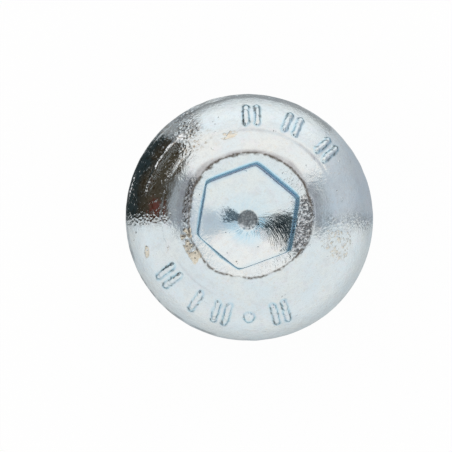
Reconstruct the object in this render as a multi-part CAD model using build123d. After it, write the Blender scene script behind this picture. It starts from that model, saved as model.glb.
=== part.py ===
from build123d import *
import os
from math import atan, degrees, radians, sqrt, tan

# Button head screw with a hexagon socket, M8, cold-formed in one piece.
# Origin at the centre of the bearing face under the head, +Z along the axis towards the
# top of the head, shank towards -Z, two corners of the socket on the X axis.
# All sizes are in millimetres and all angles in degrees.

# Shank
THREAD_D = 8.0  # major diameter
THREAD_PITCH = 1.25  # right-hand, one start
FLANK_ANGLE = 30.0  # between a flank and the plane across the axis
SHANK_L = 16.0  # bearing face to tip
NECK_L = 0.5  # plain stretch under the head, fillet included
NECK_FILLET = 0.4  # between the neck and the bearing face
RUN_OUT_L = 1.4  # length over which the thread fades into the neck
GROOVE_OVERSHOOT = 0.1  # how far the cut of the groove reaches past the crest

# Head
HEAD_D = 13.8
HEAD_H = 4.3
FLAT_D = 6.7  # flat on top of the dome
RIM_H = 0.5  # bearing face to the foot of the dome
RIM_EDGE_R = 0.2  # rounding between the rim and the bearing face
DOME_EDGE_R = 0.35  # rounding between the rim and the dome

# Hexagon socket for a 5 mm key
SOCKET_AF = 5.08  # across flats
SOCKET_DEPTH = 2.6  # top of the head to the foot of a flat, at its middle
SOCKET_LIP = 0.1  # chamfer round the mouth
FLOOR_SLOPE = 11.0  # of the conical floor
DIMPLE_D = 1.06  # punch mark in the middle of the floor
DIMPLE_DEPTH = 0.15
DIMPLE_CHAMFER = 0.15  # how far its side slopes inwards

# Witness ring that the die's insert leaves on the dome, a groove of V section
RING_D = 9.5
RING_W = 0.16
RING_DEPTH = 0.03

# Raised tally marks on the dome, between the witness ring and the rim
MARK_L = 1.2  # along the radius
MARK_W = 0.3  # of one stroke
MARK_RELIEF = 0.12
MARK_PITCH = 0.62  # between the middles of a pair's two strokes
MARK_CLEARANCE = 0.05  # from the witness ring
PIP_D = 0.55
PAIR_ANGLES = (21, 45, 69, 196, 233, 267)  # from +X
SINGLE_ANGLES = (217,)
PIP_ANGLES = (249,)

# Worked out from the sizes above
HEAD_R = HEAD_D / 2
FLAT_R = FLAT_D / 2
THREAD_R = THREAD_D / 2
THREAD_DEPTH = 17 / 24 * sqrt(3) / 2 * THREAD_PITCH  # metric screw thread, external
CREST_W = THREAD_PITCH / 8
CORE_R = THREAD_R - THREAD_DEPTH
NECK_R = THREAD_R - THREAD_DEPTH / 2  # the shank before the thread is rolled
THREAD_TOP_Z = -NECK_L - RUN_OUT_L  # where the full thread ends
DOME_CENTRE_Z = (FLAT_R**2 + HEAD_H**2 - HEAD_R**2 - RIM_H**2) / (2 * (HEAD_H - RIM_H))
DOME_R = sqrt(FLAT_R**2 + (HEAD_H - DOME_CENTRE_Z) ** 2)
RING_R = RING_D / 2
MARK_R = RING_R + RING_W / 2 + MARK_CLEARANCE + MARK_L / 2  # to the middle of a mark


def dome_z(r):
    """Height of the dome at radius r."""
    return DOME_CENTRE_Z + sqrt(DOME_R**2 - r**2)


def turned(profile):
    """Solid turned about Z from a closed outline of (radius, height) lines."""
    return revolve(Plane.XZ * make_face(profile), axis=Axis.Z)


def blank():
    """Head and shank before the socket is punched and the thread is rolled."""
    arc_r = (HEAD_R + FLAT_R) / 2
    shank = Polyline(
        (0, HEAD_H),
        (0, -SHANK_L),
        (CORE_R, -SHANK_L),
        (THREAD_R, -SHANK_L + THREAD_DEPTH),
        (THREAD_R, THREAD_TOP_Z),
        (NECK_R, -NECK_L),
        (NECK_R, -NECK_FILLET),
    )
    neck = RadiusArc((NECK_R, -NECK_FILLET), (NECK_R + NECK_FILLET, 0), NECK_FILLET)
    rim = Polyline((NECK_R + NECK_FILLET, 0), (HEAD_R, 0), (HEAD_R, RIM_H))
    dome = ThreePointArc((HEAD_R, RIM_H), (arc_r, dome_z(arc_r)), (FLAT_R, HEAD_H))
    flat = Line((FLAT_R, HEAD_H), (0, HEAD_H))
    body = turned([shank, neck, rim, dome, flat])
    body = fillet(rim_edges(body)[0], RIM_EDGE_R)
    return fillet(rim_edges(body)[-1], DOME_EDGE_R)


def rim_edges(body):
    """Circles round the rim, lowest first."""
    circles = body.edges().filter_by(GeomType.CIRCLE)
    return circles.filter_by(lambda edge: abs(edge.radius - HEAD_R) < 1e-4).sort_by(Axis.Z)


def groove_half_width(r):
    """Half the width of the thread's groove at radius r."""
    return (THREAD_PITCH - CREST_W) / 2 - (THREAD_R - r) * tan(radians(FLANK_ANGLE))


def groove(length, cone_angle=0.0):
    """Helical cut of that length from z = 0 up. With a cone angle its bottom climbs outwards."""
    outer = THREAD_R + GROOVE_OVERSHOOT
    section = Polyline(
        (CORE_R, -groove_half_width(CORE_R)),
        (outer, -groove_half_width(outer)),
        (outer, groove_half_width(outer)),
        (CORE_R, groove_half_width(CORE_R)),
        close=True,
    )
    path = Helix(THREAD_PITCH, length, CORE_R, cone_angle=cone_angle)
    return sweep(Plane.XZ * make_face(section), path=path, is_frenet=True)


def thread_cuts():
    """The groove from a pitch below the tip to the end of the full thread, and its run-out."""
    start_z = -SHANK_L - THREAD_PITCH
    length = THREAD_TOP_Z - start_z
    turned_by = 360 * length / THREAD_PITCH
    climb = NECK_R - CORE_R + GROOVE_OVERSHOOT
    run_out = groove(RUN_OUT_L, degrees(atan(climb / RUN_OUT_L)))
    return [Pos(0, 0, start_z) * groove(length), Pos(0, 0, THREAD_TOP_Z) * Rot(0, 0, turned_by) * run_out]


def hexagon(across_flats, z):
    """Hexagon at height z, with two corners over the X axis."""
    return Pos(0, 0, z) * RegularPolygon(across_flats / 2, 6, major_radius=False)


def socket():
    """What the punch presses out: hexagon with a conical nose, chamfered mouth and dimple."""
    slope = tan(radians(FLOOR_SLOPE))
    apex_z = HEAD_H - SOCKET_DEPTH - SOCKET_AF / 2 * slope
    nose = Polyline(
        (0, apex_z),
        (SOCKET_AF, apex_z + SOCKET_AF * slope),
        (SOCKET_AF, HEAD_H),
        (0, HEAD_H),
        close=True,
    )
    punch = extrude(hexagon(SOCKET_AF, apex_z), HEAD_H - apex_z) & turned([nose])
    mouth = loft([hexagon(SOCKET_AF, HEAD_H - SOCKET_LIP), hexagon(SOCKET_AF + 2 * SOCKET_LIP, HEAD_H)])
    rim_z = apex_z + DIMPLE_D / 2 * slope
    dimple = Polyline(
        (0, apex_z - DIMPLE_DEPTH),
        (DIMPLE_D / 2 - DIMPLE_CHAMFER, apex_z - DIMPLE_DEPTH),
        (DIMPLE_D / 2, rim_z),
        (0, rim_z),
        close=True,
    )
    return punch + mouth + turned([dimple])


def witness_ring():
    """Ring of triangular section that cuts the shallow groove into the dome."""
    inner, outer = RING_R - RING_W / 2, RING_R + RING_W / 2
    deepest = (DOME_R - RING_DEPTH) / DOME_R
    bottom = (RING_R * deepest, DOME_CENTRE_Z + (dome_z(RING_R) - DOME_CENTRE_Z) * deepest)
    section = Polyline((inner, dome_z(inner)), bottom, (outer, dome_z(outer)), (outer, HEAD_H), close=True)
    return turned([section])


def raised(outline, angle):
    """Outline at the marks' radius, drawn up through the dome to stand MARK_RELIEF proud of it."""
    column = extrude(Rot(0, 0, angle) * Pos(MARK_R, 0, RIM_H) * outline, HEAD_H)
    return column & Pos(0, 0, DOME_CENTRE_Z) * Sphere(DOME_R + MARK_RELIEF)


def marks():
    """All raised marks, each reaching down into the head."""
    stroke = Rectangle(MARK_L, MARK_W)
    pair = Pos(0, MARK_PITCH / 2) * stroke + Pos(0, -MARK_PITCH / 2) * stroke
    pip = Circle(PIP_D / 2)
    return (
        [raised(pair, angle) for angle in PAIR_ANGLES]
        + [raised(stroke, angle) for angle in SINGLE_ANGLES]
        + [raised(pip, angle) for angle in PIP_ANGLES]
    )


def screw():
    """The finished screw, one solid."""
    body = blank() - witness_ring()
    for cut in thread_cuts():
        body -= cut
    for mark in marks():
        body += mark
    return body - socket()


if __name__ == "__main__":
    os.makedirs("parts", exist_ok=True)
    export_step(screw(), "parts/screw.step")
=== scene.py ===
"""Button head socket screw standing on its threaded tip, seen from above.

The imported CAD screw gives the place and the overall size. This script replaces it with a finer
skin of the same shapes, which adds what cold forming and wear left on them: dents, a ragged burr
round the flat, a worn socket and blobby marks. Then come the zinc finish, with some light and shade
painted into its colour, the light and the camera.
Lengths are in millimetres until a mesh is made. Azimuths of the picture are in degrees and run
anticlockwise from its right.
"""

import math

import bmesh
import bpy
import numpy as np
from mathutils import Matrix, Vector, noise

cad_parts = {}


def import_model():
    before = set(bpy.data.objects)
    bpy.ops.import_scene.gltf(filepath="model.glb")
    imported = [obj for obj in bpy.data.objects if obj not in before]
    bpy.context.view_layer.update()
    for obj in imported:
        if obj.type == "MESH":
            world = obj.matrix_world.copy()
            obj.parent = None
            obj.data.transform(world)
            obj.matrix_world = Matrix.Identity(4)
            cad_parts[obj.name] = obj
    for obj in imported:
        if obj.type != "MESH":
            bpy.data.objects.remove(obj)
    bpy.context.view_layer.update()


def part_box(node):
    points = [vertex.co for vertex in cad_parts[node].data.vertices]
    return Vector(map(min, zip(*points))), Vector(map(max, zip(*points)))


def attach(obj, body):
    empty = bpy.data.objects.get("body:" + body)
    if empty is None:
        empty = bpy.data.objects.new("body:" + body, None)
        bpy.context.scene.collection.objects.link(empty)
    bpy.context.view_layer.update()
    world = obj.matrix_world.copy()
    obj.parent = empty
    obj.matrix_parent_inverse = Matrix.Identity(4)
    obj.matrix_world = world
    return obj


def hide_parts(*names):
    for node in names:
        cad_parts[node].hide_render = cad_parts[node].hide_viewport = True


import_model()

MM = 0.001  # metres in a millimetre
low, high = (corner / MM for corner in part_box("screw"))

# Head, worked out from the frame's box and the CAD sizes
RIM_R = min(high.x, high.y)
HEAD_H = high.z
FLAT_R = 3.35
FOOT_H = 0.5  # bearing face to the foot of the dome
DOME_Z = (FLAT_R**2 + HEAD_H**2 - RIM_R**2 - FOOT_H**2) / (2 * (HEAD_H - FOOT_H))
DOME_R = math.hypot(FLAT_R, HEAD_H - DOME_Z)
DOME_END_R = RIM_R - 0.12  # where the dome turns into the rim
RIM_ROUND = 0.3  # radius that rolls the dome into the rim
UNDER_ROUND = 0.2  # radius between the rim and the bearing face

# Socket
APOTHEM = 2.54
CORNER_ROUND = 0.16
WALL_FOOT_Z = HEAD_H - 2.6
FLOOR_SLOPE = math.tan(math.radians(11.0))
FOOT_ROUND = 0.03  # small fillet between the floor and the walls
LIP = 0.055
SOCKET_RIGHT = -0.055  # the socket lies a little off the flat's middle, to the picture's left
SOCKET_UP = -0.026
DIMPLE_R = 0.53
DIMPLE_DEPTH = 0.05
DIMPLE_UP = -0.165  # and its point towards the picture's lower edge
PUNCH_RIGHT = -0.10  # how far off the head's axis the flat and socket were punched
TOP_SINK = 0.03  # the flat lies this far under the highest burr
FLAT_DISH = 0.10  # how far the flat sinks towards the socket
STREAKS = 20.0  # how fine the streaks of the socket's floor are
STREAK_TWIST = 0.42  # how far they turn, in radians per millimetre

# Witness ring, raised scratch at the upper left, and the step where the die ended
RING_R = 4.75
RING_WIDTH = 0.16
RING_DEPTH = 0.03
SCRATCH_R = 5.82
SCRATCH_HEIGHT = 0.03
LEDGE_R = 6.6
LEDGE_WIDTH = 0.35
LEDGE_DROP = 0.09

# Raised marks, with their azimuths on the object
MARK_R = 5.48
MARK_LENGTH = 1.2
MARK_WIDTH = 0.3
MARK_RELIEF = 0.185
MARK_PITCH = 0.62
PIP_R = 0.27
PAIR_ANGLES = (21, 45, 69, 196, 233, 267)
SINGLE_ANGLE = 217
PIP_ANGLE = 249

# Shank
TIP_Z = low.z
MAJOR_R = 4.0
PITCH = 1.25
FLANK = math.tan(math.radians(30))  # how far a flank leans for each millimetre of depth
HALF_CREST = PITCH / 16
THREAD_DEPTH = 17 / 24 * math.sqrt(3) / 2 * PITCH
BLANK_R = MAJOR_R - THREAD_DEPTH / 2  # shank as it is before the thread is rolled
NECK_L = 0.5  # plain stretch under the head
NECK_ROUND = 0.4
RUN_OUT = 1.4  # length over which the thread rises out of the blank
TIP_R = MAJOR_R - THREAD_DEPTH - 0.06

# Camera and picture. The picture's right lies TURN degrees clockwise of +X, seen from above.
TURN = 20.3
CAMERA_DISTANCE = 93.0  # to the foot of the dome
CAMERA_LEAN_UP = 1.4  # how far the head's top shifts towards the picture's top, in degrees
CAMERA_LEAN_RIGHT = 0.85
FRAME_WIDTH = 25.1  # width of what the picture shows at that distance
AIM_RIGHT = -1.29
AIM_UP = -0.482
SENSOR = 36.0

# Floor and cards
FLOOR_REACH = 600
LEFT = -17.5  # how far to the picture's right the cards at the left and right stand
RIGHT = 15.5
CARD_GAP = 0.1  # between cards that stand one before another
WANDER = 1.5  # how far a card's colours wander up and down

# Colours
WHITE = (1, 1, 1, 1)
ZINC_COOL = (0.635, 0.735, 0.790, 1)
ZINC_WARM = (0.715, 0.752, 0.740, 1)
ZINC_LILAC = (0.700, 0.700, 0.765, 1)
ZINC_GREY = (0.60, 0.65, 0.67, 1)
ZINC_TAN = (0.66, 0.64, 0.59, 1)
SOCKET_BLUE = (0.38, 0.60, 0.70, 1)
SOCKET_LILAC = (0.42, 0.38, 0.60, 1)
FLOOR_BLUE = (0.42, 0.66, 0.80, 1)
SPECK = (0.46, 0.50, 0.53, 1)
STAIN = (0.56, 0.50, 0.40, 1)
STAIN_PALE = (0.70, 0.65, 0.54, 1)
# colour of matt zones and of painted shade
DULL_AND_PAINTED_SHADE = (0.46, 0.47, 0.50, 1)
# dark of the grain and of the painted reflection edges
GRAIN_AND_PAINTED_REFLECTION_DARK = (0.14, 0.15, 0.16, 1)
DIRT_AND_PAINTED_SHADE = (0.13, 0.115, 0.10, 1)
# colour of the painted dark reflection on the socket's floor
FAN_PAINTED_REFLECTION = (0.045, 0.075, 0.10, 1)
# white of bare metal and of painted highlights
RUBBED_AND_PAINTED_HIGHLIGHT_WHITE = (0.86, 0.89, 0.92, 1)
PAINTED_REFLECTION_BROWN = (0.30, 0.235, 0.15, 1)
DIMPLE_GREY = (0.17, 0.19, 0.205, 1)

# Numbers of points round the axis
HEAD_SEGMENTS = 480
SHANK_SEGMENTS = 120


def smooth(low_edge, high_edge, value):
    """0 below low_edge, 1 above high_edge, and a smooth step between. The edges may be swapped."""
    t = np.clip((value - low_edge) / (high_edge - low_edge), 0, 1)
    return t * t * (3 - 2 * t)


def bell(centre, width, value):
    """Smooth bump of height 1 at centre that fades to 0 at width to either side."""
    return smooth(width, 0, np.abs(value - centre))


def between(value, low_edge, high_edge, soft):
    """1 between two edges, fading out over soft on either side of each."""
    above = smooth(low_edge - soft, low_edge + soft, value)
    return above * smooth(high_edge + soft, high_edge - soft, value)


def rough(points, scale, seed):
    """Perlin noise, about -1 to 1, at points in millimetres; scale is in cells per millimetre."""
    shift = Vector((seed, seed * 1.7, -seed * 2.3))
    flat = points.reshape(-1, 3)
    values = [noise.noise(Vector(p) * scale + shift) for p in flat]
    return np.array(values).reshape(points.shape[:-1])


def cloudy(points, scale, seed):
    """The same noise, about 0 to 1."""
    return 0.5 + 0.5 * rough(points, scale, seed)


def angle_gap(angle, centre):
    """Signed angle in degrees from centre to angle, within half a turn. angle is in radians."""
    return (np.degrees(angle) - centre + 180) % 360 - 180


def near(angle, centre, reach, soft):
    """1 within reach degrees of an azimuth of the picture, fading out over soft degrees round that.
    angle is measured on the object, in radians."""
    gap = angle_gap(angle + math.radians(TURN), centre)
    return smooth(reach + soft, reach - soft, np.abs(gap))


def in_picture(right, up):
    """x and y of a direction given by the picture's right and top."""
    cos, sin = math.cos(math.radians(-TURN)), math.sin(math.radians(-TURN))
    return np.array([right * cos - up * sin, right * sin + up * cos])


class Skin:
    """Vertices and faces of a closed skin, built ring by ring."""

    def __init__(self):
        self.points = []
        self.faces = []

    def ring(self, points):
        """Adds a ring of points and returns their indices."""
        start = len(self.points)
        self.points.extend(tuple(p) for p in points)
        return list(range(start, len(self.points)))

    def band(self, one, two):
        """Faces between two rings. One ring may have a whole number of times the other's points."""
        if len(one) > len(two):
            one, two = two, one
        step = len(two) // len(one)
        for i in range(len(one)):
            upper = [two[(i * step + k) % len(two)] for k in range(step + 1)]
            self.faces.append([one[i], one[(i + 1) % len(one)]] + upper[::-1])

    def grid(self, rows):
        """Adds rows of points, each a closed ring, with a band between neighbours, and returns the
        rings."""
        rings = [self.ring(row) for row in rows]
        for one, two in zip(rings, rings[1:]):
            self.band(one, two)
        return rings

    def cap(self, ring, centre):
        """Closes a ring with a fan round one point."""
        middle = self.ring([centre])[0]
        for i in range(len(ring)):
            self.faces.append([ring[i], ring[(i + 1) % len(ring)], middle])


def circle_angles(count):
    return np.arange(count) * 2 * math.pi / count


def polar(radius, angle, z):
    """Points from radii, angles and heights, which are broadcast against each other."""
    radius, angle, z = np.broadcast_arrays(radius, angle, z)
    return np.stack([radius * np.cos(angle), radius * np.sin(angle), z], axis=-1)


def hexagon_radius(angle, apothem):
    """Distance from the axis to a hexagon with rounded corners and two corners over the X axis."""
    corner = np.abs((np.degrees(angle) + 30) % 60 - 30)
    side = apothem / np.cos(np.radians(30 - corner))
    reach = apothem / math.cos(math.radians(30)) - CORNER_ROUND * (2 / math.sqrt(3) - 1)
    blend = 0.06
    soft = -blend * np.log(np.exp(-side / blend) + np.exp(-reach / blend))
    return np.minimum(side, soft + blend * np.log(1 + np.exp((apothem - reach) / blend)))


def stroke(along, across):
    """Distance outside a rounded stroke, negative inside it."""
    beyond = np.maximum(np.abs(along) - (MARK_LENGTH - MARK_WIDTH) / 2, 0)
    return np.hypot(beyond, across) - MARK_WIDTH / 2


def outside_marks(r, angle, points):
    """Distance from points of the dome to the nearest raised mark, negative on a mark."""
    along = r - MARK_R
    single = np.radians(angle_gap(angle, SINGLE_ANGLE)) * r
    pip = np.radians(angle_gap(angle, PIP_ANGLE)) * r
    marks = [stroke(along, single), np.hypot(along, pip) - PIP_R]
    for centre in PAIR_ANGLES:
        across = np.radians(angle_gap(angle, centre)) * r
        marks += [stroke(along, across + side * MARK_PITCH / 2) for side in (-1, 1)]
    nearest = np.min(marks, axis=0)
    return nearest + 0.05 * rough(points, 2.9, seed=3.1) + 0.025 * rough(points, 7.0, seed=3.2)


def mark_relief(r, angle, points):
    """Height of the raised marks at points of the dome."""
    height = MARK_RELIEF * smooth(0.05, -0.09, outside_marks(r, angle, points))
    return height * (1 + 0.4 * rough(points, 1.5, seed=8.4) + 0.3 * rough(points, 5.0, seed=8.5))


def scratch(r, points):
    """1 along the raised scratch and 0 beside it; its sides are ragged."""
    centre = SCRATCH_R + 0.05 * rough(points, 0.8, seed=13.0)
    width = 0.055 + 0.06 * rough(points, 3.2, seed=13.5)
    return smooth(width + 0.03, width - 0.03, np.abs(r - centre))


def burr_radius(angle):
    """Radius of the ragged burr round the flat."""
    at_burr = polar(FLAT_R, angle, 0.0)
    wander = 0.045 * rough(at_burr, 0.8, seed=41.0) + 0.05 * rough(at_burr, 2.9, seed=42.0)
    return FLAT_R - 0.03 + wander + 0.035 * rough(at_burr, 6.0, seed=43.0)


def dents(points):
    """Low dents that cold forming leaves all over the head."""
    broad = 0.005 * rough(points, 0.9, seed=1.0) + 0.0028 * rough(points, 2.1, seed=2.0)
    return broad + 0.0016 * rough(points, 4.7, seed=2.5)


def flat_sink(radius):
    """How far the dished flat lies under the top of the head."""
    return TOP_SINK + FLAT_DISH * np.clip((FLAT_R - radius) / (FLAT_R - APOTHEM), 0, 1)


def socket_side(angles):
    """Distance from the socket's middle to the foot of its walls. The punch left some draft at the
    left and lower left, and leans the other way at the lower right."""
    draft = 0.035 * near(angles, 175, 28, 4) + 0.02 * near(angles, 233, 28, 4)
    draft = draft - 0.035 * near(angles, 293, 28, 4)
    return hexagon_radius(angles, APOTHEM) - draft


def socket_floor(angles):
    """Rows from the middle of the conical floor to the foot of the walls."""
    apex_z = WALL_FOOT_Z - APOTHEM * FLOOR_SLOPE
    shares = np.concatenate([np.linspace(0.04, 0.26, 8), np.linspace(0.3, 0.96, 14), [0.985]])
    side = socket_side(angles)
    rows = []
    for share in shares:
        hex_share = smooth(0.3, 0.9, share)
        radius = share * (APOTHEM * (1 - hex_share) + side * hex_share)
        inside = smooth(DIMPLE_R + 0.03, DIMPLE_R - 0.07, radius)
        z = apex_z + FLOOR_SLOPE * np.maximum(radius, DIMPLE_R)
        row = polar(radius, angles, z - DIMPLE_DEPTH * inside)
        row[:, 2] += (0.04 * rough(row, 4.0, seed=5.0) + 0.02 * rough(row, 9.0, seed=5.5)) * inside
        row[:, 2] += 0.0025 * rough(row, 1.1, seed=7.0)
        row[:, :2] += in_picture(SOCKET_RIGHT, SOCKET_UP) * hex_share
        row[:, :2] += in_picture(0, DIMPLE_UP) * smooth(0.75, 0.3, share)
        rows.append(row)
    return rows


def mouth_side(angles, outward):
    """Distance from the socket's middle to its mouth, which is worn out at the lower left."""
    return hexagon_radius(angles, APOTHEM + outward) + 0.045 * near(angles, 235, 8, 22)


def lip(angles):
    """Width of the rolled lip, which is worn wide at the lower left, left and upper sides and stays
    narrow at the right."""
    wider = 2.3 * near(angles, 235, 8, 22) + 0.6 * near(angles, 173, 14, 16)
    wider = wider + 0.7 * near(angles, 83, 58, 4)
    return LIP * (1 + wider - 0.35 * near(angles, -7, 28, 4))


def socket_wall(angles):
    """Rows up the walls, from a small fillet at the foot to the rolled lip at the mouth."""
    side = socket_side(angles)
    mouth = mouth_side(angles, 0.0)
    foot = WALL_FOOT_Z + FLOOR_SLOPE * (side - APOTHEM)
    rows = [polar(side - FOOT_ROUND * 0.3, angles, foot + FOOT_ROUND * 0.25)]
    for share in np.linspace(0.1, 1.0, 7):
        z = foot + (HEAD_H - lip(angles) - foot) * share
        row = polar(side + (mouth - side) * share, angles, z - flat_sink(mouth) * share)
        row[:, :2] *= 1 + 0.0022 * rough(row, 1.6, seed=9.0)[:, None]
        rows.append(row)
    for turn in np.radians([25, 50, 75, 90]):
        z = HEAD_H - lip(angles) * (1 - math.sin(turn))
        radius = mouth_side(angles, lip(angles) * (1 - math.cos(turn)))
        rows.append(polar(radius, angles, z - flat_sink(radius)))
    for row in rows:
        row[:, :2] += in_picture(SOCKET_RIGHT, SOCKET_UP)
    return rows


def flat_top(angles):
    """Rows across the flat, from the socket's mouth to the burr at its edge."""
    mouth = mouth_side(angles, lip(angles))
    rows = []
    for share in np.linspace(0.1, 1.0, 12):
        radius = mouth + (FLAT_R - 0.04 - mouth) * share
        row = polar(radius, angles, HEAD_H - flat_sink(radius))
        row[:, 2] += dents(row)
        row[:, :2] += in_picture(SOCKET_RIGHT, SOCKET_UP) * (1 - share)
        rows.append(row)
    return rows


def dome_tilts():
    """Angles from the axis at which the dome's rows lie, closest together at the burr and marks."""

    def tilt(radius):
        return math.asin(radius / DOME_R)

    burr = tilt(FLAT_R) + np.array([0.0, 0.008, 0.016, 0.024, 0.034, 0.046])
    inner = np.linspace(0.062 + tilt(FLAT_R), tilt(RING_R - 0.15), 12)
    marked = np.linspace(tilt(RING_R - 0.1), tilt(6.2), 38)
    outer = np.linspace(tilt(6.28), tilt(DOME_END_R), 12)
    return np.concatenate([burr, inner, marked, outer])


def dome(angles):
    """Rows down the dome, from the burr round the flat to the rim."""
    at_rim = polar(RIM_R, angles, 0.0)
    burr_r = burr_radius(angles)
    ring_r = RING_R + 0.05 * rough(at_rim, 0.5, seed=12.0)
    ring_share = 0.3 + 1.2 * near(angles, 60, 30, 20) + 0.5 * near(angles, 207, 16, 12)
    scratch_share = near(angles, 145, 19, 5)
    ledge_r = LEDGE_R - 0.06 * near(angles, 117, 13, 8) + 0.07 * rough(at_rim, 1.6, seed=15.0)
    ledge_share = near(angles, 100, 36, 16)
    rows = []
    for tilt in dome_tilts():
        radius = np.full_like(angles, DOME_R * math.sin(tilt))
        row = polar(radius, angles, DOME_Z + DOME_R * math.cos(tilt))
        outward = polar(math.sin(tilt), angles, math.cos(tilt))
        height = dents(row) - TOP_SINK
        height += 0.05 * bell(burr_r, 0.12, radius) * (rough(row, 2.6, seed=11.0) + 0.3)
        worn_ring = ring_share * np.clip(0.6 + 0.9 * rough(row, 1.4, seed=17.0), 0, 1)
        height -= RING_DEPTH * worn_ring * bell(ring_r, RING_WIDTH, radius)
        height += SCRATCH_HEIGHT * scratch_share * scratch(radius, row)
        height -= LEDGE_DROP * ledge_share * smooth(ledge_r, ledge_r + LEDGE_WIDTH, radius)
        height += mark_relief(radius, angles, row)
        row = row + outward * height[:, None]
        row[:, 2] = np.minimum(row[:, 2], HEAD_H - 0.001)
        rows.append(row)
    return rows


def rim(angles):
    """Rows round the slightly uneven rim, from the dome to the bearing face."""
    at_rim = polar(RIM_R, angles, 0.0)
    picture_angle = angles + math.radians(TURN)
    edge = 0.03 * np.cos(2 * picture_angle + 1.1) + 0.018 * np.cos(3 * picture_angle + 0.9) - 0.03
    edge += 0.015 * rough(at_rim, 0.35, seed=14.0) + 0.022 * rough(at_rim, 1.7, seed=16.0)
    edge = np.minimum(edge, -0.002)
    rows = []
    for turn in np.linspace(math.asin(DOME_END_R / DOME_R) + 0.08, math.pi / 2, 5):
        radius = RIM_R - RIM_ROUND * (1 - math.sin(turn)) + edge
        rows.append(polar(radius, angles, FOOT_H - 0.06 + RIM_ROUND * math.cos(turn)))
    for turn in np.linspace(0, math.pi / 2, 5):
        radius = RIM_R - UNDER_ROUND * (1 - math.cos(turn)) + edge
        rows.append(polar(radius, angles, UNDER_ROUND * (1 - math.sin(turn))))
    return rows


def neck(angles):
    """Rows from the bearing face into the blank part of the shank."""
    rows = [polar(5.6, angles, 0.0)]
    for turn in np.linspace(0, math.pi / 2, 6):
        radius = BLANK_R + NECK_ROUND * (1 - math.sin(turn))
        rows.append(polar(radius, angles, -NECK_ROUND * (1 - math.cos(turn))))
    return rows


def thread_radius(z, angle):
    """Radius of a right-hand thread that rises out of the blank and ends in a chamfer."""
    from_crest = np.abs(((z - TIP_Z) / PITCH - angle / (2 * math.pi)) % 1 - 0.5) * PITCH
    depth = np.clip((from_crest - HALF_CREST) / FLANK, 0, THREAD_DEPTH)
    full = MAJOR_R - 0.02 - depth
    share = np.clip((-NECK_L - z) / RUN_OUT, 0, 1)
    chamfer = TIP_R + (z - TIP_Z)
    return np.minimum(BLANK_R + (full - BLANK_R) * share, chamfer)


def thread():
    """Rows that follow the helix from tip to neck, cut off level at both ends."""
    top, bottom = -NECK_L, TIP_Z
    crest, root = HALF_CREST, HALF_CREST + THREAD_DEPTH * FLANK
    half = [0.0, crest - 0.015, crest + 0.015, (crest + root) / 2, root - 0.03, root + 0.03]
    profile = sorted([0.5 * PITCH] + half + [PITCH - s for s in half[1:]])
    turns = math.ceil((top - bottom) / PITCH) + 1
    first = bottom - 1.5 * PITCH
    angles = np.linspace(0, 2 * math.pi, SHANK_SEGMENTS + 1)
    rows = []
    for start in [k * PITCH + s for k in range(turns + 1) for s in profile]:
        z = np.clip(first + start + PITCH * angles / (2 * math.pi), bottom, top)
        rows.append(polar(thread_radius(z, angles), angles, z))
    return rows


def add_thread(skin):
    """Adds the thread's open grid; its doubled points are welded later."""
    rows = [skin.ring(row) for row in thread()]
    for one, two in zip(rows, rows[1:]):
        for i in range(SHANK_SEGMENTS):
            skin.faces.append([one[i], one[i + 1], two[i + 1], two[i]])


def screw_skin():
    """The whole screw as one closed skin."""
    skin = Skin()
    fine = circle_angles(HEAD_SEGMENTS)
    coarse = circle_angles(SHANK_SEGMENTS)
    floor_rows = socket_floor(fine)
    centre_rows = [row[::4] for row in floor_rows[:5]]
    rings = skin.grid(centre_rows + floor_rows[5:])
    skin.cap(rings[0], (*in_picture(0, DIMPLE_UP), skin.points[rings[0][0]][2]))
    head = skin.grid(socket_wall(fine) + flat_top(fine) + dome(fine) + rim(fine))
    skin.band(rings[-1], head[0])
    shank = skin.grid(neck(coarse) + [polar(BLANK_R, coarse, -NECK_L)])
    skin.band(head[-1], shank[0])
    add_thread(skin)
    tip = skin.grid([polar(radius, coarse, TIP_Z) for radius in (TIP_R, 2.0, 1.0)])
    skin.cap(tip[-1], (0, 0, TIP_Z))
    return skin


def make_object(name, skin):
    """Blender object from a skin in millimetres, welded and smooth."""
    mesh = bpy.data.meshes.new(name)
    mesh.from_pydata([tuple(c * MM for c in p) for p in skin.points], [], skin.faces)
    work = bmesh.new()
    work.from_mesh(mesh)
    bmesh.ops.remove_doubles(work, verts=work.verts, dist=1e-7)
    bmesh.ops.dissolve_degenerate(work, edges=work.edges, dist=1e-8)
    bmesh.ops.recalc_face_normals(work, faces=work.faces)
    for face in work.faces:
        face.smooth = True
    work.to_mesh(mesh)
    work.free()
    piece = bpy.data.objects.new(name, mesh)
    bpy.context.scene.collection.objects.link(piece)
    return piece


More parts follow.
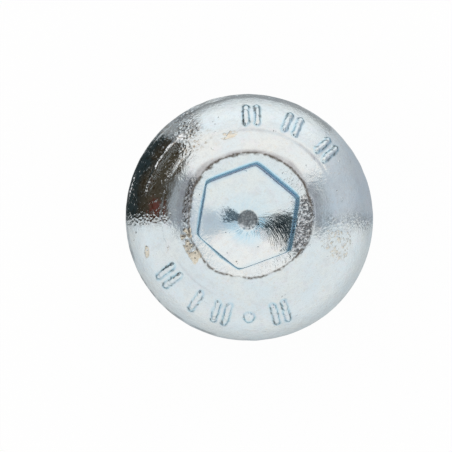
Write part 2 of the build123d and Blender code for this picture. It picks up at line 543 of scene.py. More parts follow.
class Finish:
    """Where each kind of finish, and the light and shade painted into it, lies on the head. Most
    methods give a strength for each point, from 0 to about 1. Places are given by radii in
    millimetres and azimuths of the picture."""

    def __init__(self, co):
        self.co = co
        self.radius = np.hypot(co[:, 0], co[:, 1])
        self.angle = np.arctan2(co[:, 1], co[:, 0])
        self.patchy = cloudy(co, 1.1, seed=21.0)
        self.fleck = cloudy(co, 3.3, seed=22.0)
        off_centre = co[:, :2] - in_picture(SOCKET_RIGHT, SOCKET_UP)
        side = hexagon_radius(np.arctan2(off_centre[:, 1], off_centre[:, 0]), APOTHEM)
        self.beyond_socket = np.hypot(off_centre[:, 0], off_centre[:, 1]) - side
        kept_off = 1.5 * smooth(4.7, 4.5, self.radius)
        self.beyond_mark = outside_marks(self.radius, self.angle, co) + kept_off
        self.right = co[:, :2] @ in_picture(1, 0)
        self.up = co[:, :2] @ in_picture(0, 1)
        self.above_dimple = self.up - DIMPLE_UP
        self.from_dimple = np.hypot(self.right, self.above_dimple)
        self.round_dimple = np.arctan2(self.above_dimple, self.right)
        self.on_floor = smooth(2.6, 2.3, self.radius) * smooth(0.1, 0.6, co[:, 2])

    def near(self, centre, reach, soft):
        return near(self.angle, centre, reach, soft)

    def zone(self, low_edge, high_edge, edge_soft, centre, reach, soft):
        """1 in the part of a ring that lies near an azimuth."""
        return between(self.radius, low_edge, high_edge, edge_soft) * self.near(centre, reach, soft)

    def by_dimple(self, centre, full, gone):
        """1 within full degrees of an azimuth as seen from the dimple, 0 beyond gone degrees."""
        return smooth(gone, full, np.abs(angle_gap(self.round_dimple, centre)))

    def swirl(self):
        """Coordinates along which the streaks of the socket's floor run."""
        turned = self.round_dimple + STREAK_TWIST * self.from_dimple
        across = [STREAKS * np.cos(turned), STREAKS * np.sin(turned)]
        return np.stack(across + [2.2 * self.from_dimple], axis=-1)

    def right_of_socket(self):
        on_flat = smooth(0.0, 0.055, self.beyond_socket) * smooth(3.55, 3.35, self.radius)
        return on_flat * self.near(-11, 28, 4)

    def grain_and_painted_reflection(self):
        """Rough, sandy zones beside the flat and socket and over the stain, and painted dark grain
        where the dark reflections end on the dome."""
        zones = [
            self.zone(FLAT_R - 0.05, 3.63, 0.15, 167, 23, 5) * 0.66,
            self.right_of_socket(),
            self.zone(3.25, 3.85, 0.12, 205, 10, 6) * 0.4,
            # the last four zones are painted reflection: dark grain where the dark reflections end
            self.zone(5.3, 6.8, 0.25, 123, 5, 4) * 0.55,
            self.zone(4.6, 5.4, 0.2, 133, 5, 5) * 0.25,
            self.zone(4.2, 6.7, 0.2, 182, 4, 4) * 0.3,
            self.zone(4.2, 6.7, 0.2, -4, 4, 5) * 0.3,
        ]
        return np.max(zones, axis=0) * (0.7 + 0.7 * self.patchy)

    def burr_shade(self):
        """Shade outside the burr in the picture's upper half."""
        width = 0.16 + 0.12 * self.near(52, 12, 14) + 0.2 * self.near(136, 10, 10)
        shade = smooth(FLAT_R + width + 0.1, FLAT_R + width - 0.08, self.radius)
        shade = shade * (self.radius > FLAT_R - 0.02)
        return shade * self.near(95, 75, 12) * (0.75 + 0.5 * self.patchy)

    def ring_painted_shade(self):
        """Painted shade along parts of the witness ring."""
        upper = 0.5 * self.near(70, 36, 12) + 0.9 * self.near(48, 9, 10)
        line = bell(4.64, 0.15, self.radius) * upper
        line = line + bell(4.62, 0.1, self.radius) * self.near(226, 16, 8) * 0.45
        return line * (0.6 + 0.7 * self.patchy)

    def dull_and_painted_shade(self):
        """Matt bands beside the flat and right of the socket, and painted shade round the burr and
        along the ring.
        """
        left_band = self.zone(FLAT_R, 4.0, 0.15, 164, 21, 6)
        right_band = self.zone(FLAT_R, 3.85, 0.2, 8, 22, 10) * 0.8
        on_flat = self.right_of_socket() * 0.8
        return np.max([left_band, right_band, self.burr_shade(), self.ring_painted_shade(), on_flat], axis=0)

    def stain(self):
        """Tan stains: beside the flat, one blotch near the rim and fine spots; and a brownish edge
        painted into the dark reflection at the upper left.
        """
        beside_flat = self.zone(3.2, 3.95, 0.12, 207, 16, 3) * smooth(0.25, 0.5, self.fleck) * 0.65
        blotch = smooth(1.15, 0.8, np.hypot((self.right + 5.62) / 0.17, (self.up + 1.94) / 0.4))
        blotch = blotch * smooth(0.2, 0.4, self.fleck) * 0.55
        spots = [
            self.zone(3.9, 5.9, 0.3, -17, 13, 8) * 0.46,
            self.zone(4.25, 4.75, 0.12, 105, 8, 6) * 0.55,
            self.zone(4.2, 5.3, 0.3, 203, 7, 5) * 0.38,
        ]
        spots = np.max(spots, axis=0) * (0.75 + 0.5 * self.patchy)
        brown_painted_reflection = self.zone(4.7, 5.3, 0.2, 146, 12, 6) * 0.4
        return np.max([beside_flat, blotch, spots, brown_painted_reflection], axis=0)

    def hammered(self):
        """Battered zone at the upper left, where brown is also painted over the dark reflection."""
        return self.zone(4.5, 6.9, 0.3, 150, 32, 6)

    def painted_highlight_crescent(self):
        """Painted highlight on the lower edge of the dimple."""
        edge = bell(DIMPLE_R - 0.07, 0.18, self.from_dimple) * smooth(-0.1, -0.35, self.above_dimple)
        return edge * smooth(0.3, 0.42, cloudy(self.co, 6.5, seed=26.0))

    def rubbed_and_painted_highlight(self):
        """Bare bright metal at the scratch and the crumbs round it, and painted highlights: the
        dimple's lower edge, thin streaks along both sides of the dark wedge at the dimple's right,
        and a light streak on the rim's edge at the left."""
        line = scratch(self.radius, self.co) * self.near(142, 12, 3)
        line = line * (0.7 + 0.45 * rough(self.co, 2.4, seed=24.0))
        below_wedge = self.by_dimple(-42, 12, 24) * between(self.from_dimple, 0.6, 1.5, 0.12)
        above_wedge = self.by_dimple(3, 3, 10) * between(self.from_dimple, 0.9, 1.5, 0.2)
        streaks = smooth(0.34, 0.46, cloudy(self.swirl(), 0.9, seed=27.0))
        zones = [
            line,
            self.zone(5.5, 5.95, 0.12, 131, 4, 4) * 0.62,
            self.zone(5.72, 5.92, 0.08, 163, 6, 3) * 0.5,
            self.zone(4.8, 5.1, 0.12, 152, 9, 4) * 0.42,
            # painted highlight: a light streak on the rim's edge at the left
            self.zone(6.66, 6.8, 0.04, 165, 7, 4) * 0.6,
            self.painted_highlight_crescent() * 0.95,
            # painted highlights: streaks along both sides of the dark wedge
            np.maximum(below_wedge, above_wedge) * streaks * self.on_floor,
        ]
        return np.max(zones, axis=0)

    def burr_dirt(self):
        """Dirt in the burr round the flat, thinner and broken in places."""
        thick = cloudy(self.co, 1.7, seed=23.0)
        width = 0.03 + 0.11 * thick + 0.04 * self.near(90, 75, 15)
        width = width + 0.07 * self.near(137, 9, 9) * self.fleck
        unbroken = 1 - 0.6 * self.near(262, 45, 20) * smooth(0.5, 0.38, thick)
        unbroken = unbroken - 0.3 * self.near(92, 18, 14)
        chips = smooth(0.0, 0.45, 0.55 + 0.9 * rough(self.co, 5.0, seed=25.0))
        line = bell(burr_radius(self.angle) + 0.02, width, self.radius)
        line = line * smooth(0.1, 0.35, self.fleck) * unbroken * chips
        return line * (1.1 - 0.55 * self.near(-8, 18, 10))

    def dirt(self):
        """Dirt along the burr and rim and in the dimple, dark spots in the marks' corners, and
        painted shade outside the burr and along the ring.
        """
        fringe = self.zone(FLAT_R - 0.16, FLAT_R, 0.07, 122, 26, 8) * smooth(0.5, 0.62, self.fleck)
        rim_line = bell(6.78, 0.09, self.radius) * smooth(0.45, 0.7, self.patchy)
        rim_line = rim_line * self.near(215, 65, 15) * 0.8
        rim_nicks = bell(6.84, 0.08, self.radius) * smooth(0.4, 0.6, self.fleck)
        rim_line += rim_nicks * self.near(213, 20, 8) * 0.8
        in_dimple = smooth(DIMPLE_R + 0.06, DIMPLE_R, self.from_dimple) * self.on_floor
        in_dimple = in_dimple * (1 - 0.9 * self.painted_highlight_crescent())
        in_corners = bell(0.02, 0.09, self.beyond_mark) * smooth(0.58, 0.7, self.fleck) * 0.85
        # burr_shade and the ring's line add painted shade
        lines = self.burr_dirt() + fringe * 0.7 + self.burr_shade() * 0.22 + self.ring_painted_shade() * 0.1
        return lines + rim_line + in_dimple + in_corners

    def wall(self):
        """The socket's walls and lip."""
        width = lip(self.angle)
        up_to_lip = smooth(width + 0.035, width - 0.025, self.beyond_socket)
        return smooth(-0.13, -0.08, self.beyond_socket) * up_to_lip

    def deep(self):
        """Walls whose blue runs in bands with the depth."""
        upper, left, right = self.near(80, 58, 4), self.near(170, 29, 3), self.near(350, 29, 3)
        return self.wall() * np.max([upper, left * 0.6, right * 0.25], axis=0)

    def blue(self):
        """Blue tint of the socket's walls and round the dimple, and blue painted shade at the foot
        of the marks.
        """
        inner = smooth(0.0, -0.03, self.beyond_socket)
        wall_share = 1 - 0.6 * inner * self.near(230, 28, 3) - 0.75 * self.near(290, 29, 3)
        middle = self.on_floor * smooth(1.7, 0.8, self.from_dimple)
        middle = middle * smooth(DIMPLE_R + 0.02, DIMPLE_R + 0.1, self.from_dimple)
        uneven = 0.35 + 0.5 * self.near(245, 80, 25) + 0.3 * self.near(-10, 20, 15)
        lower_right = smooth(1.1, 0.8, self.from_dimple) * self.near(-27, 26, 12)
        uneven = uneven + 0.45 * lower_right
        # painted shade: a blue band round the foot of the raised marks
        foot = bell(0.02, 0.12, self.beyond_mark) * between(self.radius, 4.6, 6.3, 0.1)
        foot = foot * (0.5 + 0.5 * self.patchy)
        return np.max([self.wall() * wall_share, middle * uneven, foot], axis=0)

    def fan(self):
        """Painted reflection: dark fans of streaks to the left and right of the dimple."""
        left = self.on_floor * smooth(1.75, 0.75, self.from_dimple)
        left = left * smooth(DIMPLE_R + 0.01, DIMPLE_R + 0.05, self.from_dimple)
        left = left * self.by_dimple(166, 12, 28)
        right = self.on_floor * smooth(1.1, 1.6, self.from_dimple) * self.near(-17, 10, 7)
        right = right * smooth(2.4, 2.0, self.from_dimple) * 0.4
        return np.maximum(left, right)

    def streak(self):
        """Relief of the streaks on the socket's floor, strongest in its dark wedges."""
        everywhere = 0.1 + 0.4 * smooth(1.4, 1.0, self.from_dimple)
        left = self.near(178, 30, 20) * smooth(2.0, 1.4, self.from_dimple)
        below = self.near(265, 60, 30) * smooth(1.5, 0.9, self.from_dimple) * 0.7
        outer = smooth(0.8, 1.8, self.from_dimple)
        right = self.near(-11 - 18 * outer, 12 + 13 * outer, 10)
        return self.on_floor * np.max([everywhere, right, left, below], axis=0)


def add_masks(piece):
    """Stores the strength of each kind of finish, painted light and shade among them, at each point,
    and the streaks' coordinates.
    """
    co = np.array([v.co for v in piece.data.vertices]) / MM
    finish = Finish(co)
    masks = {
        "grain_and_painted_reflection": finish.grain_and_painted_reflection(),
        "dull_and_painted_shade": finish.dull_and_painted_shade(),
        "stain": finish.stain(),
        "dirt": finish.dirt(),
        "blue": finish.blue(),
        "deep": finish.deep(),
        "streak": finish.streak(),
        "rubbed_and_painted_highlight": finish.rubbed_and_painted_highlight(),
        "hammered": finish.hammered(),
        "fan": finish.fan(),
    }
    on_head = smooth(0.2, 0.6, co[:, 2])
    for name, mask in masks.items():
        layer = piece.data.attributes.new(name, "FLOAT", "POINT")
        layer.data.foreach_set("value", np.clip(mask * on_head, 0, 1).astype(np.float32))
    layer = piece.data.attributes.new("swirl", "FLOAT_VECTOR", "POINT")
    layer.data.foreach_set("vector", finish.swirl().astype(np.float32).ravel())


def move_punched(piece):
    """Moves the flat and the socket off the head's axis and makes the flat's edge uneven, as the
    punch left them."""
    co = np.array([v.co for v in piece.data.vertices]) / MM
    radius = np.hypot(co[:, 0], co[:, 1])
    share = smooth(0.2, 0.6, co[:, 2]) * smooth(4.7, 3.6, radius)
    co[:, :2] += share[:, None] * in_picture(PUNCH_RIGHT, 0)
    angle = np.arctan2(co[:, 1], co[:, 0])
    bulge = 0.17 * near(angle, 233, 10, 18) - 0.06 * near(angle, 290, 15, 15)
    bulge = bulge - 0.14 * near(angle, 174, 15, 15)
    at_edge = share * smooth(2.9, 3.3, radius)
    co[:, :2] *= (1 + at_edge * bulge / np.maximum(radius, 1))[:, None]
    piece.data.vertices.foreach_set("co", (co * MM).ravel())
    piece.data.update()


class Nodes:
    """Short calls for building one node tree."""

    def __init__(self, tree):
        self.tree = tree
        tree.nodes.clear()

    def add(self, kind, settings=None, **inputs):
        """A node with its settings and inputs. An input is a value or another node's socket.
        i0, i1 and so on name inputs by their place."""
        node = self.tree.nodes.new(kind)
        for key, value in (settings or {}).items():
            setattr(node, key, value)
        for key, value in inputs.items():
            place = int(key[1:]) if key[1:].isdigit() else key.replace("_", " ")
            if isinstance(value, bpy.types.NodeSocket):
                self.tree.links.new(value, node.inputs[place])
            else:
                node.inputs[place].default_value = value
        return node

    def math(self, operation, *values):
        inputs = {f"i{k}": value for k, value in enumerate(values)}
        return self.add("ShaderNodeMath", {"operation": operation}, **inputs).outputs[0]

    def vector_math(self, operation, **inputs):
        return self.add("ShaderNodeVectorMath", {"operation": operation}, **inputs).outputs

    def times(self, *values):
        """Product of any number of values."""
        product = values[0]
        for value in values[1:]:
            product = self.math("MULTIPLY", product, value)
        return product

    def total(self, *values):
        """Sum of any number of values."""
        result = values[0]
        for value in values[1:]:
            result = self.math("ADD", result, value)
        return result

    def part(self, vector, place):
        """x, y or z of a vector, for place 0, 1 or 2."""
        return self.add("ShaderNodeSeparateXYZ", i0=vector).outputs[place]

    def along(self, vector, axis):
        """How far a vector reaches along an axis."""
        return self.vector_math("DOT_PRODUCT", i0=vector, i1=axis)["Value"]

    def ramp(self, value, low_edge, high_edge, to_low=0.0, to_high=1.0):
        """Smooth step from to_low at low_edge to to_high at high_edge."""
        inputs = dict(i0=value, i1=low_edge, i2=high_edge, i3=to_low, i4=to_high)
        settings = {"interpolation_type": "SMOOTHSTEP"}
        return self.add("ShaderNodeMapRange", settings, **inputs).outputs[0]

    def mix(self, share, one, two):
        """Colour between one and two."""
        return self.add("ShaderNodeMix", {"data_type": "RGBA"}, i0=share, i6=one, i7=two).outputs[2]

    def mix_value(self, share, one, two):
        """Number between one and two."""
        inputs = dict(i0=share, i2=one, i3=two)
        return self.add("ShaderNodeMix", {"data_type": "FLOAT"}, **inputs).outputs[0]

    def mix_shader(self, share, one, two):
        return self.add("ShaderNodeMixShader", i0=share, i1=one, i2=two).outputs[0]

    def noise(self, vector, scale, detail=2.0, roughness=0.5):
        inputs = dict(Vector=vector, Scale=scale, Detail=detail, Roughness=roughness)
        return self.add("ShaderNodeTexNoise", **inputs).outputs[0]

    def noise_color(self, vector, scale):
        return self.add("ShaderNodeTexNoise", Vector=vector, Scale=scale).outputs[1]

    def attribute(self, name, output="Fac"):
        return self.add("ShaderNodeAttribute", {"attribute_name": name}).outputs[output]

    def dots(self, vector, scale, size, share):
        """Soft round dots in some of the cells; size is a share of a cell."""
        cells = self.add("ShaderNodeTexVoronoi", Vector=vector, Scale=scale)
        chosen = self.math("LESS_THAN", self.part(cells.outputs["Color"], 0), share)
        return self.times(self.ramp(cells.outputs["Distance"], size, size * 0.4), chosen)

    def millimetres(self):
        """Place on the object in millimetres."""
        place = self.add("ShaderNodeTexCoord").outputs["Object"]
        return self.vector_math("SCALE", Vector=place, Scale=1 / MM)[0]

    def colors_along(self, value, stops):
        """Colour at value from (value, colour) stops."""
        start, end = stops[0][0], stops[-1][0]
        share = self.math("DIVIDE", self.math("SUBTRACT", value, start), end - start)
        ramp = self.add("ShaderNodeValToRGB", i0=share)
        elements = ramp.color_ramp.elements
        for place, color in stops[1:-1]:
            elements.new((place - start) / (end - start)).color = (*color, 1)
        elements[0].color = (*stops[0][1], 1)
        elements[len(elements) - 1].color = (*stops[-1][1], 1)
        return ramp.outputs[0]


def new_material(name):
    material = bpy.data.materials.new(name)
    material.use_nodes = True
    return material, Nodes(material.node_tree)


def zinc():
    """Bright bluish zinc plating with grainy zones, stains, dirt, pits and pimples, a blue tint
    inside the socket and streaks on its floor. Dark reflections, highlights and shade are painted
    into its colour in places."""
    material, n = new_material("zinc_plating")
    mm = n.millimetres()
    height = n.part(mm, 2)
    grain_and_painted_reflection, dull_and_painted_shade, stain, dirt = (n.attribute(name) for name in ("grain_and_painted_reflection", "dull_and_painted_shade", "stain", "dirt"))
    blue, deep, streak = (n.attribute(name) for name in ("blue", "deep", "streak"))
    rubbed_and_painted_highlight, hammered, fan = (n.attribute(name) for name in ("rubbed_and_painted_highlight", "hammered", "fan"))
    swirl = n.attribute("swirl", "Vector")

    # Patterns
    cloud = n.noise(mm, 0.7, 4.0, 0.6)
    lilac = n.noise(mm, 2.2, 5.0, 0.7)
    mottle = n.noise(mm, 2.3, 4.0, 0.6)
    tarnish = n.noise(mm, 4.5, 4.0, 0.7)
    fleck = n.noise(mm, 5.5, 3.0, 0.6)
    chips = n.noise(mm, 6.5, 2.0, 0.5)
    fine = n.noise(mm, 8.0, 3.0, 0.65)
    crumbs = n.noise(mm, 10.0, 4.0, 0.65)
    speck = n.noise(mm, 13.0, 3.0, 0.7)
    rays = n.noise(swirl, 1.0, 2.0)
    strokes = n.noise(swirl, 2.2, 3.0, 0.6)
    scored = n.ramp(n.total(strokes, n.times(fan, 0.28), n.times(fine, 0.7)), 0.92, 1.0)
    inputs = dict(Vector=mm, Scale=6.0, Smoothness=0.4)
    cells = n.add("ShaderNodeTexVoronoi", {"feature": "SMOOTH_F1"}, **inputs).outputs["Distance"]
    shift = n.vector_math("SCALE", Vector=n.noise_color(mm, 5.0), Scale=0.35)[0]
    warped = n.vector_math("ADD", i0=mm, i1=shift)[0]
    pimples = n.dots(warped, 1.6, 0.2, 0.3)
    pits = n.dots(warped, 1.4, 0.08, 0.7)
    grit = n.part(n.add("ShaderNodeTexVoronoi", Vector=warped, Scale=10.0).outputs["Color"], 0)

    # Mottled plating
    color = n.mix(n.ramp(cloud, 0.3, 0.7, 0.15, 0.85), ZINC_COOL, ZINC_WARM)
    color = n.mix(n.ramp(lilac, 0.5, 0.7, 0.0, 0.5), color, ZINC_LILAC)
    color = n.mix(n.ramp(mottle, 0.47, 0.7, 0.0, 0.6), color, ZINC_GREY)
    color = n.mix(n.ramp(fine, 0.52, 0.68, 0.0, 0.5), color, ZINC_GREY)
    color = n.mix(n.ramp(fleck, 0.56, 0.7, 0.0, 0.5), color, ZINC_TAN)
    color = n.mix(n.ramp(speck, 0.5, 0.68, 0.0, 0.2), color, SPECK)

    # Stained, dull and grainy zones, which also carry painted shade and painted dark reflections
    patches = n.total(stain, n.times(fleck, 0.65), n.times(lilac, 0.35))
    stained = n.times(n.ramp(patches, 0.92, 1.1), n.ramp(stain, 0.0, 0.6, 0.0, 0.95))
    color = n.mix(stained, color, n.mix(n.ramp(lilac, 0.42, 0.58), STAIN, STAIN_PALE))
    color = n.mix(n.times(dull_and_painted_shade, n.ramp(mottle, 0.3, 0.7, 0.35, 0.8)), color, DULL_AND_PAINTED_SHADE)
    lumps = n.total(n.times(fine, 0.4), n.times(fleck, 0.3), n.times(grit, 0.3))
    color = n.mix(n.times(grain_and_painted_reflection, n.ramp(lumps, 0.44, 0.54, 0.08, 1.0)), color, GRAIN_AND_PAINTED_REFLECTION_DARK)

    # Blue in the socket, in bands down its upper walls
    below = n.math("SUBTRACT", HEAD_H, n.total(height, n.times(fleck, 0.5)))
    light_blue, dark_blue, mid_blue = (0.46, 0.72, 0.87), (0.19, 0.41, 0.62), (0.30, 0.52, 0.71)
    lilac_line, pale_line, slate = (0.52, 0.56, 0.74), (0.7, 0.78, 0.86), (0.46, 0.54, 0.65)
    bands = [(0, light_blue), (0.3, light_blue), (0.7, dark_blue), (1.2, mid_blue)]
    bands += [(1.6, lilac_line), (2.0, pale_line), (2.2, slate), (2.7, slate)]
    on_floor = n.ramp(streak, 0.0, 0.08)
    blue = n.times(blue, n.mix_value(on_floor, 1.0, n.ramp(rays, 0.35, 0.6, 0.45, 1.0)))
    tint = n.mix(n.times(n.ramp(lilac, 0.45, 0.6), 0.15), SOCKET_BLUE, SOCKET_LILAC)
    tint = n.mix(on_floor, tint, FLOOR_BLUE)
    tint = n.mix(deep, tint, n.colors_along(below, bands))
    color = n.mix(n.times(blue, n.ramp(mottle, 0.3, 0.6, 0.7, 1.0)), color, tint)

    # Painted dark reflections in streaks, brown painted over the dark reflection, pits, and dirt
    # with painted shade
    color = n.mix(n.times(n.ramp(fan, 0.0, 0.25), scored, 0.9), color, FAN_PAINTED_REFLECTION)
    # brown painted over the dark reflection in the battered zone
    color = n.mix(n.times(hammered, n.ramp(tarnish, 0.5, 0.66, 0.0, 0.8)), color, PAINTED_REFLECTION_BROWN)
    color = n.mix(n.times(pits, 0.6), color, DIRT_AND_PAINTED_SHADE)
    soil_and_painted_shade = n.mix(n.ramp(height, 1.8, 1.3), DIRT_AND_PAINTED_SHADE, DIMPLE_GREY)
    # the dirt mask also carries painted shade outside the burr and along the ring
    color = n.mix(n.times(dirt, n.ramp(fine, 0.3, 0.55, 0.6, 1.0)), color, soil_and_painted_shade)

    # Places rubbed bare, and painted highlights in the same white
    worn = n.total(n.times(rubbed_and_painted_highlight, 0.5), n.times(hammered, 0.1), crumbs)
    worn = n.ramp(worn, 0.87, 0.93)
    color = n.mix(worn, color, RUBBED_AND_PAINTED_HIGHLIGHT_WHITE)
    metallic = n.math("SUBTRACT", 1.0, n.times(worn, 0.85))

    roughness = n.total(
        n.ramp(cloud, 0.3, 0.7, 0.07, 0.11),
        n.times(grain_and_painted_reflection, 0.04),
        n.times(dirt, 0.3),
        n.times(dull_and_painted_shade, 0.12),
        n.times(rubbed_and_painted_highlight, 0.2),
        n.ramp(blue, 0.6, 0.9, 0.0, 0.4),
    )
    plain = n.times(n.ramp(streak, 0.0, 0.1, 1.0, 0.2), n.ramp(hammered, 0.0, 1.0, 1.0, 0.6))
    relief = n.total(
        n.times(mottle, plain, 0.02),
        n.times(fine, plain, n.total(n.times(grain_and_painted_reflection, 0.02), 0.011)),
        n.times(cells, n.total(grain_and_painted_reflection, n.times(stained, 0.5)), 0.09),
        n.times(pimples, plain, 0.016),
        n.times(pits, -0.02),
        n.times(n.ramp(chips, 0.62, 0.74), hammered, 0.009),
        n.times(rays, streak, 0.009),
    )
    bump = n.add("ShaderNodeBump", Height=relief, Distance=MM, Strength=1.0).outputs[0]
    edge = n.mix(n.ramp(blue, 0.4, 0.7, 0.0, 0.8), WHITE, color)
    inputs = dict(Base_Color=color, Metallic=metallic, Roughness=roughness, Normal=bump)
    shader = n.add("ShaderNodeBsdfPrincipled", Specular_Tint=edge, **inputs).outputs[0]
    n.add("ShaderNodeOutputMaterial", Surface=shader)
    return material


def beside(right, up, height):
    """Place in metres from millimetres to the picture's right, to its top and above the origin."""
    return Vector((*in_picture(right, up), height)) * MM


def flat_piece(name, corners, material):
    """One flat stage face. Its corners are (right, up, height)."""
    mesh = bpy.data.meshes.new(name)
    mesh.from_pydata([beside(*corner) for corner in corners], [], [range(len(corners))])
    mesh.materials.append(material)
    sheet = bpy.data.objects.new(name, mesh)
    bpy.context.scene.collection.objects.link(sheet)
    return sheet


def card(name, start, end, stops, tilt=0.0, specks=0.3, fade=0.0):
    """Upright card that only shows in reflections, between two (right, up) points. Its colours run
    up it through (height, colour) stops, wandering up and down, and it has dark specks. tilt lowers
    the top at its end, and it fades out over the last fade millimetres."""
    bottom, top = stops[0][0], stops[-1][0]
    material, n = new_material(name)
    place = n.millimetres()
    wander = n.ramp(n.noise(place, 0.22, 3.0), 0.3, 0.7, -WANDER, WANDER)
    speck = n.noise(place, 1.1, 3.0, 0.7)
    color = n.colors_along(n.math("ADD", n.part(place, 2), wander), stops)
    darker = n.mix(0.6, color, (0.02, 0.03, 0.03, 1))
    color = n.mix(n.ramp(speck, 0.5, 0.65, 0.0, specks), color, darker)
    glow = n.add("ShaderNodeEmission", Color=color).outputs[0]
    if fade:
        up = n.along(place, Vector((*in_picture(0, 1), 0)))
        clear = n.add("ShaderNodeBsdfTransparent").outputs[0]
        glow = n.mix_shader(n.ramp(up, end[1] - fade, end[1]), glow, clear)
    n.add("ShaderNodeOutputMaterial", Surface=glow)
    corners = [(*start, bottom), (*end, bottom), (*end, top - tilt), (*start, top)]
    sheet = flat_piece(name, corners, material)
    sheet.visible_camera = False
    sheet.visible_diffuse = False
    sheet.visible_shadow = False


def floor():
    """White floor. In reflections it shows painted shade that darkens towards the screw's foot, and
    it grows brighter towards the picture's top.
    """
    material, n = new_material("white_floor")
    place = n.millimetres()
    x, y = n.part(place, 0), n.part(place, 1)
    from_axis = n.math("SQRT", n.total(n.times(x, x), n.times(y, y)))
    seen = n.add("ShaderNodeLightPath").outputs
    plain = n.add("ShaderNodeBsdfDiffuse", Color=(0.92, 0.92, 0.92, 1)).outputs[0]
    white = n.add("ShaderNodeEmission", Color=WHITE).outputs[0]
    stops = [(0, (0.45, 0.47, 0.49)), (16, (0.56, 0.58, 0.60)), (24, (0.69, 0.71, 0.72))]
    stops += [(36, (0.86, 0.87, 0.87)), (48, (0.96, 0.96, 0.96)), (60, (1.03, 1.03, 1.03))]
    shade = n.colors_along(from_axis, stops)
    up_x, up_y = (float(part) for part in in_picture(0, 1))
    strength = n.ramp(n.total(n.times(x, up_x), n.times(y, up_y)), 5, 45, 1.0, 1.16)
    reflected = n.add("ShaderNodeEmission", Color=shade, Strength=strength).outputs[0]
    shader = n.mix_shader(n.times(seen["Is Camera Ray"], 0.92), plain, white)
    shader = n.mix_shader(seen["Is Glossy Ray"], shader, reflected)
    n.add("ShaderNodeOutputMaterial", Surface=shader)
    signs = ((-1, -1), (1, -1), (1, 1), (-1, 1))
    corners = [(right * FLOOR_REACH, up * FLOOR_REACH, TIP_Z) for right, up in signs]
    flat_piece("floor", corners, material)


def left_cards():
    """Dark surroundings with brown and red in them, and a bright slit."""
    white, grey, pale = (1, 1, 1), (0.40, 0.42, 0.45), (0.47, 0.49, 0.52)
    black, umber, brown = (0.03, 0.042, 0.045), (0.052, 0.040, 0.027), (0.085, 0.068, 0.046)
    red, soot = (0.17, 0.05, 0.04), (0.06, 0.075, 0.08)
    dark = [(TIP_Z, black), (-6, black), (-3.5, umber), (1.5, brown), (5.9, brown), (7.6, pale)]
    card("dark_card", (LEFT, 0.0), (LEFT, 11.0), dark + [(25, pale)], specks=1.0)
    card("high_dark_card", (LEFT, 0.0), (LEFT, 16.0), [(25, soot), (110, soot)])
    low_dark = [(TIP_Z, black), (-8.5, black), (-5.5, umber), (0.5, brown), (6.8, brown)]
    card("low_dark_card", (LEFT, 11.0), (LEFT, 21.0), low_dark, tilt=3.0, specks=1.0)
    card("grey_band_left", (LEFT, -5.0), (LEFT, 0.0), [(9, grey), (25, grey)])
    before = LEFT + CARD_GAP
    card("bright_slit", (before, 4.5), (before, 21.0), [(-0.65, white), (-0.4, white)], specks=0.0)
    card("red_card", (before, 0.8), (before, 3.3), [(1.6, red), (4.6, red)], specks=1.0)


def right_cards():
    """Bluish grey surroundings with a darker band."""
    foot, low_grey, bright = (0.5, 0.52, 0.57), (0.57, 0.60, 0.65), (0.76, 0.78, 0.83)
    shade, band, cool = (0.72, 0.75, 0.80), (0.42, 0.45, 0.48), (0.68, 0.74, 0.80)
    dark = (0.25, 0.27, 0.29)
    low_right = [(TIP_Z, foot), (-4, low_grey), (3, bright), (5.5, shade)]
    card("low_grey_card", (RIGHT, 0.1), (RIGHT, 24.0), low_right, fade=20.0)
    high_right = [(4.0, shade), (8.5, shade), (11.5, band), (20, band), (25, cool)]
    behind, before = RIGHT + CARD_GAP, RIGHT - CARD_GAP
    card("high_grey_card", (behind, -0.5), (behind, 10.5), high_right, fade=3.0)
    card("grey_band_right", (RIGHT, -3.5), (RIGHT, -0.5), [(9, band), (20, band)])
    card("edge_card", (before, -0.35), (before, 0.3), [(-8, dark), (2, dark)])


def top_card():
    """Low grey edge behind the rim."""
    stops = [(TIP_Z, (0.4, 0.41, 0.42)), (-4.3, (0.42, 0.43, 0.44))]
    card("rim_card", (-15.0, 15.5), (15.0, 15.5), stops, tilt=4.0)


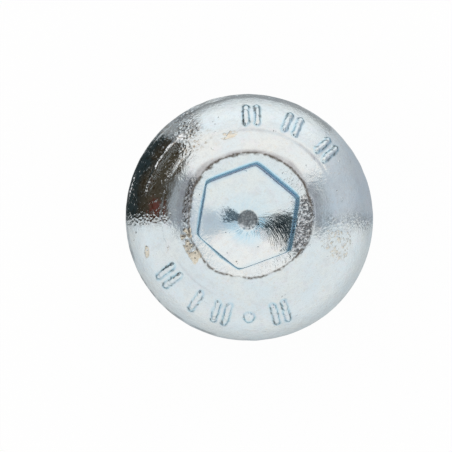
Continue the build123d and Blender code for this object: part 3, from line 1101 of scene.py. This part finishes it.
def world():
    """White surround, warm and bright at the picture's top and bluish grey at its right."""
    surround = bpy.data.worlds.new("surround")
    bpy.context.scene.world = surround
    surround.use_nodes = True
    n = Nodes(surround.node_tree)
    ray = n.add("ShaderNodeTexCoord").outputs["Generated"]
    right, up = (n.along(ray, beside(*axis, 0).normalized()) for axis in ((1, 0), (0, 1)))
    height = n.part(ray, 2)
    bearing = n.math("MULTIPLY", n.math("ARCTAN2", up, right), 180 / math.pi)
    color = n.mix(n.ramp(height, 0.0, 1.0), WHITE, (1.07, 1.07, 1.06, 1))
    cool = n.times(n.ramp(bearing, -8, -3), n.ramp(bearing, 37, 28))
    color = n.mix(cool, color, (0.68, 0.74, 0.80, 1))
    warm = n.times(n.ramp(bearing, 26, 36), n.ramp(bearing, 146, 136), n.ramp(height, -0.05, 0.12))
    color = n.mix(warm, color, (1.19, 1.13, 1.095, 1))
    seen = n.add("ShaderNodeLightPath").outputs["Is Camera Ray"]
    light = n.add("ShaderNodeBackground", Color=n.mix(seen, color, WHITE)).outputs[0]
    n.add("ShaderNodeOutputWorld", Surface=light)


def camera():
    """Camera above the head, standing a little towards the picture's lower left."""
    lens = bpy.data.cameras.new("camera")
    lens.sensor_width = SENSOR
    lens.lens = SENSOR * CAMERA_DISTANCE / FRAME_WIDTH
    lens.clip_start = CAMERA_DISTANCE * MM / 10
    lens.clip_end = CAMERA_DISTANCE * MM * 10
    eye = bpy.data.objects.new("camera", lens)
    bpy.context.scene.collection.objects.link(eye)
    lean_right, lean_up = math.radians(CAMERA_LEAN_RIGHT), math.radians(CAMERA_LEAN_UP)
    back = beside(-math.sin(lean_right), -math.sin(lean_up), 1).normalized()
    aim = beside(AIM_RIGHT, AIM_UP, FOOT_H)
    side = beside(0, 1, 0).normalized().cross(back).normalized()
    rotation = Matrix((side, back.cross(side), back)).transposed()
    eye.matrix_world = Matrix.Translation(aim + back * CAMERA_DISTANCE * MM) @ rotation.to_4x4()
    bpy.context.scene.camera = eye


piece = make_object("screw_skin", screw_skin())
add_masks(piece)
move_punched(piece)
piece.data.materials.append(zinc())
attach(piece, "root")
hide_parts("screw")

floor()
left_cards()
right_cards()
top_card()
world()
camera()
bpy.context.scene.view_settings.view_transform = "Standard"
